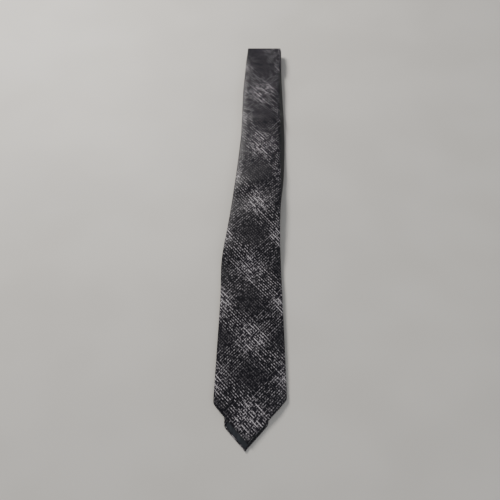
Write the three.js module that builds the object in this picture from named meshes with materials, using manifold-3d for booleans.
// A necktie folded flat on a table: blade on top, tail underneath, the neck pleated between them.
// Millimetres, +Z up. The top folds are at +Y, both points at -Y, and the blade's face is up.
// Every layer of the tie is a shell of cloth turned over an interlining and closed by a seam down
// its back. The layers are joined at three folds, and each fold is the pivot of a nested group.
import * as THREE from "three";
import { mergeVertices } from "three/addons/utils/BufferGeometryUtils.js";
import Module from "manifold-3d";

const wasm = await Module();
wasm.setup();

// Lengths along the table, measured from the line where the top folds begin.
const BLADE_DROP = 464.7; // to the blade's tip
const TAIL_DROP = 472.2; // to the tail's tip
const NECK_DROP = 239.7; // to the middle fold
const FRONT_SEAM_DROP = 150; // to the seam that joins the blade cloth to the neck cloth
const REAR_SEAM_DROP = 48; // to the seam that joins the neck cloth to the tail cloth

// Widths across the tie.
const BLADE_WIDTH = 74.4; // between the blade's two corners
const BLADE_TOP_WIDTH = 43.3; // at the blade's top fold
const NECK_WIDTH = 34; // at the front seam
const NECK_MIDDLE_WIDTH = 32; // at the middle fold
const TAIL_TOP_WIDTH = 34; // at the tail's top fold
const TAIL_WIDTH = 44.4; // between the tail's two corners

// The line that each layer's middle follows across the table: straight, a gentle sway, straight.
const TOP_X = 12.5; // middle of every layer at the top folds
const BLADE_LOW_X = -0.4; // middle of the blade below the sway
const TAIL_LOW_X = -4.1; // middle of the tail below the sway
const BLADE_TIP_SHIFT = -1.9; // tip of the point, off the blade's middle
const TAIL_TIP_SHIFT = -0.9;
const LEAN = 0.011; // sideways run of the part above the sway, per millimetre
const SWAY_TOP = -120;
const SWAY_BOTTOM = -290;
const SWAY_STEPS = 9;

// Thicknesses of the plies, from the back of a layer to its face.
const CLOTH = 0.5; // shell cloth
const TIPPING = 0.3; // satin lining of the two points
const INTERLINING = 0.8;
const PLY_GAP = 0.2; // clearance between plies inside the shell
const LAYER_GAP = 0.3; // clearance between folded layers, and between pieces end to end
const LOOP_ROOM = 1.5; // height kept free between the blade's back and the tail

// The blade comes down off the folded neck in a ramp.
const RAMP_CLEARANCE = 2.5; // from the middle fold to the start of the ramp
const RAMP_LENGTH = 52;
const RAMP_STEPS = 10;

// The back of each point: the hem, the opening between the flaps, and what is sewn there.
const HEM = 2.6;
const BLADE_OPENING = 130; // tip to the bar tack where the flaps meet
const TAIL_OPENING = 62;
const BLADE_TIPPING = 152; // length of the lining
const TAIL_TIPPING = 84;
const SEAM_SLIT = 1; // width of the gap between the flaps along the back
const THREAD = 0.4; // thickness of the sewing thread
const STRAND = 0.3; // how deep the slip stitch is
const TACK_SIZE = [6, 1.6]; // across and along the tie
const SLACK_RADIUS = 3; // spare loop of thread at the blade's tack
const SLACK_SQUASH = 0.6; // its width over its length
const SLACK_SEGMENTS = [6, 24];
const BEND_SEGMENTS = 12;

// The keeper loop across the blade's back, and the two blank labels on its lining.
const KEEPER_DROP = 30; // below the middle fold
const KEEPER_SIZE = [42, 10];
const KEEPER_FOOT = 4; // length of each sewn end
const KEEPER_CLEARANCE = 0.4; // between the strap and the blade's back, past LAYER_GAP
const KEEPER_TACK = [1.2, 8]; // across and along the tie
const LABEL_SIZE = [0.4 * BLADE_WIDTH, 12];
const LABEL_HEIGHT = 0.55 * BLADE_OPENING; // above the tip
const CARE_SIZE = [15, 19];
const CARE_HEIGHT = 0.34 * BLADE_OPENING;
const LABEL_THICKNESS = 0.2;
const STITCH_INSET = 1.2; // label stitches, in from the label's ends

// Margins of the drawing itself.
const CUT_PAST = 1; // how far a cut runs past what it cuts
const SLANT_PAST = 50; // the same, where the ends are slanted
const NEAREST = 1; // least distance between two points of an outline
const FOLD_CLEARANCE = 0.05; // from the outside of a fold to its pivot's far side

// What follows from those.
const LAYER = 2 * CLOTH + TIPPING + INTERLINING + 3 * PLY_GAP; // thickness of one layer
const PITCH = LAYER + LAYER_GAP;
const FACE = LAYER - CLOTH; // depth at which the face cloth starts
const TIPPING_DEPTH = CLOTH + PLY_GAP;
const INTERLINING_DEPTH = TIPPING_DEPTH + TIPPING + PLY_GAP;
const BEND_INNER = LAYER_GAP / 2; // inner radius of a fold
const FOLD_REACH = BEND_INNER + LAYER + FOLD_CLEARANCE; // from the end of a layer to its fold's pivot
const RAMP_TOP = -(NECK_DROP + BEND_INNER + LAYER + RAMP_CLEARANCE);
const RAMP_BOTTOM = RAMP_TOP - RAMP_LENGTH;
const BLADE_TIP_Y = -BLADE_DROP;
const TAIL_TIP_Y = -TAIL_DROP;
const SPAN = 4 * BLADE_WIDTH; // wider and taller than anything in the tie

const { lerp, smoothstep } = THREE.MathUtils;
const steps = (from, to, count) =>
  Array.from({ length: count + 1 }, (_, i) => lerp(from, to, i / count));
const SWAY_MARKS = steps(SWAY_BOTTOM, SWAY_TOP, SWAY_STEPS);
const RAMP_MARKS = steps(RAMP_BOTTOM, RAMP_TOP, RAMP_STEPS);

// The distances along the tie at which an outline from low to high needs a point.
function stations(low, high, marks) {
  return [low, ...marks.filter((y) => y > low + NEAREST && y < high - NEAREST), high];
}

function swaying(lowX) {
  return (y) => lerp(lowX, TOP_X + LEAN * y, smoothstep(y, SWAY_BOTTOM, SWAY_TOP));
}

function tapering(lowY, lowWidth, highY, highWidth) {
  return (y) => lerp(lowWidth, highWidth, (y - lowY) / (highY - lowY));
}

// The four layers from the table up. height(y, depth) is where a point that lies that deep, counted
// from the layer's back, stands above the table: two layers lie face down. turns and rises are the
// distances at which the layer's edges and its height need extra points.
const FRONT_SEAM_Y = -FRONT_SEAM_DROP;
const REAR_SEAM_Y = -REAR_SEAM_DROP;
const neckAbove = tapering(FRONT_SEAM_Y, NECK_WIDTH, 0, BLADE_TOP_WIDTH);
const neckBelow = tapering(-NECK_DROP, NECK_MIDDLE_WIDTH, FRONT_SEAM_Y, NECK_WIDTH);
const tail = {
  centre: swaying(TAIL_LOW_X),
  width: tapering(TAIL_TIP_Y + TAIL_WIDTH / 2, TAIL_WIDTH, 0, TAIL_TOP_WIDTH),
  height: (y, depth) => LAYER - depth,
  turns: SWAY_MARKS,
  rises: [],
};
const neckLower = {
  centre: () => TOP_X,
  width: tapering(-NECK_DROP, NECK_MIDDLE_WIDTH, 0, TAIL_TOP_WIDTH),
  height: (y, depth) => PITCH + depth,
  turns: [],
  rises: [],
};
const neckUpper = {
  centre: () => TOP_X,
  width: (y) => (y > FRONT_SEAM_Y ? neckAbove(y) : neckBelow(y)),
  height: (y, depth) => 2 * PITCH + LAYER - depth,
  turns: [FRONT_SEAM_Y],
  rises: [],
};
const blade = {
  centre: swaying(BLADE_LOW_X),
  width: tapering(BLADE_TIP_Y + BLADE_WIDTH / 2, BLADE_WIDTH, 0, BLADE_TOP_WIDTH),
  height: (y, depth) =>
    lerp(LAYER + LOOP_ROOM, 3 * PITCH, smoothstep(y, RAMP_BOTTOM, RAMP_TOP)) + depth,
  turns: SWAY_MARKS,
  rises: RAMP_MARKS,
};

// A closed geometry as a solid that can be joined and cut.
function solid(geometry) {
  const bare = geometry.clone();
  bare.deleteAttribute("normal");
  bare.deleteAttribute("uv");
  const merged = mergeVertices(bare, 1e-4);
  return new wasm.Manifold(
    new wasm.Mesh({
      numProp: 3,
      vertProperties: new Float32Array(merged.attributes.position.array),
      triVerts: new Uint32Array(merged.index.array),
    }),
  );
}

// An outline on the table, extruded upwards through every layer.
function upright(points) {
  const shape = new THREE.Shape(points.map(([x, y]) => new THREE.Vector2(x, y)));
  const geometry = new THREE.ExtrudeGeometry(shape, { depth: SPAN, bevelEnabled: false });
  return solid(geometry.translate(0, 0, -SPAN / 2));
}

// An outline in the plane along the tie, extruded across it.
function across(shape) {
  const geometry = new THREE.ExtrudeGeometry(shape, {
    depth: SPAN,
    bevelEnabled: false,
    curveSegments: BEND_SEGMENTS,
  });
  const turn = new THREE.Matrix4().makeBasis(
    new THREE.Vector3(0, 1, 0),
    new THREE.Vector3(0, 0, 1),
    new THREE.Vector3(1, 0, 0),
  );
  return solid(geometry.translate(0, 0, -SPAN / 2).applyMatrix4(turn));
}

// The slice of a layer between two depths.
function ply(layer, low, high, shallow, deep) {
  const along = stations(low, high, layer.rises);
  const points = [
    ...along.map((y) => new THREE.Vector2(y, layer.height(y, shallow))),
    ...along.reverse().map((y) => new THREE.Vector2(y, layer.height(y, deep))),
  ];
  return across(new THREE.Shape(points));
}

// The slice of a fold between two radii, with straight ends that run on by past. side is 1 for the
// top folds and -1 for the middle one.
function bentPly(y, z, side, inner, outer, past) {
  const shape = new THREE.Shape();
  const start = (-side * Math.PI) / 2;
  const lineTo = (height) => shape.lineTo(y - side * past, z + side * height);
  shape.moveTo(y - side * past, z - side * outer);
  shape.absarc(y, z, outer, start, start + Math.PI, false);
  lineTo(outer);
  lineTo(inner);
  shape.absarc(y, z, inner, start + Math.PI, start, true);
  lineTo(-inner);
  return across(shape);
}

// The plan of a layer between two cuts. slantLow and slantHigh turn a cut to run diagonally.
function strip(layer, low, high, inset, slantLow = 0, slantHigh = 0) {
  const along = stations(low, high, layer.turns);
  const edge = (side) =>
    along.map((y, i) => {
      const half = layer.width(y) / 2 - inset;
      const slant = i === 0 ? slantLow : i === along.length - 1 ? slantHigh : 0;
      return [layer.centre(y) + side * half, y + side * half * slant];
    });
  return upright([...edge(1), ...edge(-1).reverse()]);
}

// The corners and tip of a square point, drawn in by inset.
function point(layer, tipX, tipY, inset) {
  const tip = [tipX, tipY + inset * Math.SQRT2];
  const shoulder = tipY + layer.width(tipY) / 2;
  const corner = (side) => {
    const x = layer.centre(shoulder) + side * (layer.width(shoulder) / 2 - inset);
    return [x, tip[1] + side * (x - tipX)];
  };
  return { tip, left: corner(-1), right: corner(1) };
}

// The plan of a layer that ends in a point.
function pointed(layer, tipX, tipY, high, inset) {
  const { tip, left, right } = point(layer, tipX, tipY, inset);
  const above = stations(Math.max(left[1], right[1]) + NEAREST, high, layer.turns);
  const edge = (side) =>
    above.map((y) => [layer.centre(y) + side * (layer.width(y) / 2 - inset), y]);
  return upright([tip, right, ...edge(1), ...edge(-1).reverse(), left]);
}

// A narrow strip down the middle of a layer.
function ribbon(layer, low, high, width) {
  const along = stations(low, high, layer.turns);
  const edge = (side) => along.map((y) => [layer.centre(y) + (side * width) / 2, y]);
  return upright([...edge(1), ...edge(-1).reverse()]);
}

function rectangle(x, y, wide, long) {
  return upright([
    [x - wide / 2, y - long / 2],
    [x + wide / 2, y - long / 2],
    [x + wide / 2, y + long / 2],
    [x - wide / 2, y + long / 2],
  ]);
}

// Materials.
const finish = (color, roughness) =>
  new THREE.MeshStandardMaterial({ color, roughness, metalness: 0 });
const patterned = finish(0x3a3b42, 0.5);
const satin = finish(0x1d1e24, 0.35);
const woolCloth = finish(0xd8d2c4, 0.95);
const thread = finish(0x23242a, 0.6);
const woven = finish(0x2b2d36, 0.55);
const paleWoven = finish(0xc9c9c6, 0.7);

// The folds as nested groups: each body turns about the pivot of the fold that joins it to its
// parent. The neck's lower half is the part that the others unfold from.
const pivots = {
  neckLower: new THREE.Vector3(0, 0, 0),
  tail: new THREE.Vector3(0, FOLD_REACH, PITCH - LAYER_GAP / 2),
  neckUpper: new THREE.Vector3(0, -NECK_DROP - FOLD_REACH, 2 * PITCH - LAYER_GAP / 2),
  blade: new THREE.Vector3(0, FOLD_REACH, 3 * PITCH - LAYER_GAP / 2),
};
const folded = new THREE.Group();
const bodies = { neckLower: new THREE.Group() };
bodies.neckLower.name = "neckLower";
folded.add(bodies.neckLower);
for (const [name, parent] of [
  ["tail", "neckLower"],
  ["neckUpper", "neckLower"],
  ["blade", "neckUpper"],
]) {
  bodies[name] = new THREE.Group();
  bodies[name].name = name;
  bodies[name].position.copy(pivots[name]).sub(pivots[parent]);
  bodies[parent].add(bodies[name]);
}

function addMesh(body, name, geometry, material, place = new THREE.Vector3()) {
  const mesh = new THREE.Mesh(geometry, material);
  mesh.name = name;
  mesh.position.copy(place).sub(pivots[body]);
  bodies[body].add(mesh);
}

function addSolid(body, name, made, material) {
  const { vertProperties, triVerts } = made.getMesh();
  const geometry = new THREE.BufferGeometry();
  geometry.setAttribute("position", new THREE.BufferAttribute(vertProperties, 3));
  geometry.setIndex(new THREE.BufferAttribute(triVerts, 1));
  geometry.computeVertexNormals();
  addMesh(body, name, geometry, material);
}

// A box on a layer's back or face, between two depths.
function addPatch(body, name, layer, [wide, long], x, y, [shallow, deep], material) {
  const z = (layer.height(y, shallow) + layer.height(y, deep)) / 2;
  const geometry = new THREE.BoxGeometry(wide, long, Math.abs(deep - shallow));
  addMesh(body, name, geometry, material, new THREE.Vector3(x, y, z));
}

// The end of a layer with a point: shell, interlining, lining, slip stitch and bar tack.
function addPointedLayer(body, name, layer, tipY, tipShift, opening, lining) {
  const tipX = layer.centre(tipY) + tipShift;
  const high = -LAYER_GAP;
  const plan = (inset) => pointed(layer, tipX, tipY, high, inset);
  const full = (shallow, deep) => ply(layer, tipY - CUT_PAST, high, shallow, deep);
  const through = (shallow, deep) =>
    ply(layer, tipY - CUT_PAST, high + CUT_PAST, shallow, deep);
  const tackY = tipY + opening;
  const inside = point(layer, tipX, tipY, HEM);
  const flapEdges = upright([
    inside.tip,
    inside.right,
    [layer.centre(tackY), tackY],
    inside.left,
  ]);
  const hollow = pointed(layer, tipX, tipY, high + CUT_PAST, CLOTH);
  const slit = ribbon(layer, tackY - TACK_SIZE[1], high + CUT_PAST, SEAM_SLIT);
  const [tackWide, tackLong] = TACK_SIZE.map((size) => size + 2 * PLY_GAP);
  const tackSlot = rectangle(layer.centre(tackY), tackY, tackWide, tackLong);
  const back = through(-CUT_PAST, CLOTH + PLY_GAP / 2);
  const shell = full(0, LAYER)
    .intersect(plan(0))
    .subtract(through(CLOTH, FACE).intersect(hollow))
    .subtract(back.intersect(flapEdges.add(slit).add(tackSlot)));
  addSolid(body, name + "_shell", shell, patterned);

  const core = full(INTERLINING_DEPTH, INTERLINING_DEPTH + INTERLINING);
  addSolid(body, name + "_interlining", core.intersect(plan(CLOTH + PLY_GAP)), woolCloth);

  const liningPlan = pointed(layer, tipX, tipY, tipY + lining, CLOTH + PLY_GAP);
  const sheet = full(TIPPING_DEPTH, TIPPING_DEPTH + TIPPING);
  addSolid(body, name + "_tipping", sheet.intersect(liningPlan), satin);

  const seam = ribbon(layer, tackY + TACK_SIZE[1], high, THREAD);
  const strand = full(CLOTH - STRAND, CLOTH).intersect(seam);
  addSolid(body, name + "_slip_stitch", strand, thread);

  const sunk = [0, THREAD];
  addPatch(body, name + "_bar_tack", layer, TACK_SIZE, layer.centre(tackY), tackY, sunk, thread);
  return { tipX, tackY };
}

// A layer of the neck: two lengths of shell that meet at a slanting cloth seam at seamY, with the
// interlining and the slip stitch that run through both.
function addNeckLayer(body, layer, seamY, names) {
  const low = -NECK_DROP + LAYER_GAP;
  const high = -LAYER_GAP;
  const slab = (shallow, deep) =>
    ply(layer, low - SLANT_PAST, high + SLANT_PAST, shallow, deep);
  const slit = ribbon(layer, low - CUT_PAST, high + CUT_PAST, SEAM_SLIT);
  const back = slab(-CUT_PAST, CLOTH + PLY_GAP / 2);
  const hollow = strip(layer, low - SLANT_PAST, high + SLANT_PAST, CLOTH);
  const tube = (from, to, slantFrom, slantTo) =>
    slab(0, LAYER)
      .intersect(strip(layer, from, to, 0, slantFrom, slantTo))
      .subtract(slab(CLOTH, FACE).intersect(hollow))
      .subtract(back.intersect(slit));
  const gap = THREAD / 2 + LAYER_GAP;
  addSolid(body, names.above, tube(seamY + gap * Math.SQRT2, high, 1, 0), patterned);
  addSolid(body, names.below, tube(low, seamY - gap * Math.SQRT2, 0, 1), patterned);
  const stitch = (THREAD / 2) * Math.SQRT2;
  const seam = slab(FACE, LAYER - PLY_GAP / 2).intersect(
    strip(layer, seamY - stitch, seamY + stitch, CLOTH, 1, 1),
  );
  addSolid(body, names.seam, seam, thread);
  const core = slab(INTERLINING_DEPTH, INTERLINING_DEPTH + INTERLINING);
  const corePlan = strip(layer, low, high, CLOTH + PLY_GAP);
  addSolid(body, names.interlining, core.intersect(corePlan), woolCloth);
  const seamLine = ribbon(layer, low, high, THREAD);
  addSolid(body, names.stitch, slab(CLOTH - STRAND, CLOTH).intersect(seamLine), thread);
}

// The bend that joins two layers at a fold. faceOut says whether the face is on the outside.
function addBend(body, name, layer, y, z, side, faceOut) {
  const radius = (depth) => BEND_INNER + (faceOut ? depth : LAYER - depth);
  const reach = 2 * FOLD_REACH;
  const [low, high] = side > 0 ? [y, y + reach] : [y - reach, y];
  const at = { centre: () => layer.centre(y), width: () => layer.width(y), turns: [] };
  const ring = (shallow, deep, past) => {
    const [inner, outer] = [radius(shallow), radius(deep)].sort((a, b) => a - b);
    return bentPly(y, z, side, inner, outer, past);
  };
  const plan = (inset, past) => strip(at, low - past, high + past, inset);
  const wall = PLY_GAP / 2;
  const slit = ribbon(at, low - CUT_PAST, high + CUT_PAST, SEAM_SLIT);
  const shell = ring(0, LAYER, CUT_PAST)
    .intersect(plan(0, 0))
    .subtract(ring(CLOTH, FACE, 2 * CUT_PAST).intersect(plan(CLOTH, 2 * CUT_PAST)))
    .subtract(ring(-wall, CLOTH + wall, 2 * CUT_PAST).intersect(slit));
  addSolid(body, name + "_shell", shell, patterned);
  const core = ring(INTERLINING_DEPTH, INTERLINING_DEPTH + INTERLINING, CUT_PAST);
  addSolid(body, name + "_interlining", core.intersect(plan(CLOTH + PLY_GAP, 0)), woolCloth);
}

// The tail, face down, with its lining up.
addPointedLayer("tail", "tail", tail, TAIL_TIP_Y, TAIL_TIP_SHIFT, TAIL_OPENING, TAIL_TIPPING);

// The neck, pleated in two.
addBend("tail", "tail_fold", tail, 0, pivots.tail.z, 1, true);
addNeckLayer("neckLower", neckLower, REAR_SEAM_Y, {
  above: "tail_shell_turned",
  below: "neck_shell_lower",
  seam: "rear_cloth_seam",
  interlining: "neck_interlining_lower",
  stitch: "neck_slip_stitch_lower",
});
addBend("neckUpper", "neck_fold", neckLower, -NECK_DROP, pivots.neckUpper.z, -1, false);
addNeckLayer("neckUpper", neckUpper, FRONT_SEAM_Y, {
  above: "blade_shell_turned",
  below: "neck_shell_upper",
  seam: "front_cloth_seam",
  interlining: "neck_interlining_upper",
  stitch: "neck_slip_stitch_upper",
});

// The blade, face up, on top.
addBend("blade", "blade_fold", blade, 0, pivots.blade.z, 1, true);
const { tipX, tackY } = addPointedLayer(
  "blade",
  "blade",
  blade,
  BLADE_TIP_Y,
  BLADE_TIP_SHIFT,
  BLADE_OPENING,
  BLADE_TIPPING,
);

// The spare loop of slip stitch thread that lies on the back below the blade's bar tack.
const slack = new THREE.TorusGeometry(SLACK_RADIUS, THREAD / 2, ...SLACK_SEGMENTS);
slack.scale(SLACK_SQUASH, 1, 1);
const slackY = tackY - TACK_SIZE[1] / 2 - LAYER_GAP - SLACK_RADIUS - THREAD / 2;
const slackPlace = new THREE.Vector3(
  blade.centre(slackY),
  slackY,
  blade.height(slackY, -LAYER_GAP - THREAD / 2),
);
addMesh("blade", "slack_thread_loop", slack, thread, slackPlace);

// The keeper loop: a strap sewn down at both ends, with a bar of stitches at each.
const keeperY = -NECK_DROP - KEEPER_DROP;
const keeperX = blade.centre(keeperY);
const [keeperWide, keeperLong] = KEEPER_SIZE;
const passage = keeperWide - 2 * KEEPER_FOOT;
const pastKeeper = keeperLong + 2 * CUT_PAST;
const keeperPly = (long, shallow, deep) =>
  ply(blade, keeperY - long / 2, keeperY + long / 2, shallow, deep);
const keeperPlan = (x, wide) => rectangle(x, keeperY, wide, pastKeeper);
const strapTop = -LAYER_GAP - KEEPER_CLEARANCE;
const strapUnder = strapTop - CLOTH;
const keeper = keeperPly(keeperLong, strapUnder, -LAYER_GAP)
  .intersect(keeperPlan(keeperX, keeperWide))
  .subtract(keeperPly(pastKeeper, strapTop, 0).intersect(keeperPlan(keeperX, passage)));
addSolid("blade", "keeper_loop", keeper, patterned);
for (const [name, side] of [["left", -1], ["right", 1]]) {
  const [tackWide, tackLong] = KEEPER_TACK;
  const x = keeperX + side * ((keeperWide - KEEPER_FOOT) / 2);
  const bar = keeperPly(tackLong, strapUnder - LAYER_GAP - THREAD, strapUnder - LAYER_GAP)
    .intersect(keeperPlan(x, tackWide));
  addSolid("blade", "keeper_tack_" + name, bar, thread);
}

// Two blank woven labels on the blade's lining, sewn down at their short ends.
for (const [name, size, height, material] of [
  ["blank_label", LABEL_SIZE, LABEL_HEIGHT, woven],
  ["care_label", CARE_SIZE, CARE_HEIGHT, paleWoven],
]) {
  const y = BLADE_TIP_Y + height;
  const depth = TIPPING_DEPTH - LAYER_GAP;
  addPatch("blade", name, blade, size, tipX, y, [depth - LABEL_THICKNESS, depth], material);
  const above = depth - LABEL_THICKNESS - LAYER_GAP;
  for (const [end, side] of [["left", -1], ["right", 1]]) {
    const x = tipX + side * (size[0] / 2 - STITCH_INSET);
    const bar = [THREAD, size[1] - 2 * STITCH_INSET];
    const proud = [above - THREAD / 2, above];
    addPatch("blade", `${name}_stitch_${end}`, blade, bar, x, y, proud, thread);
  }
}

// The part's origin is under the middle of the folded tie, on the table.
const box = new THREE.Box3().setFromObject(folded);
const middle = box.getCenter(new THREE.Vector3());
folded.position.set(-middle.x, -middle.y, -box.min.z);
const group = new THREE.Group();
group.add(folded);
export default group;
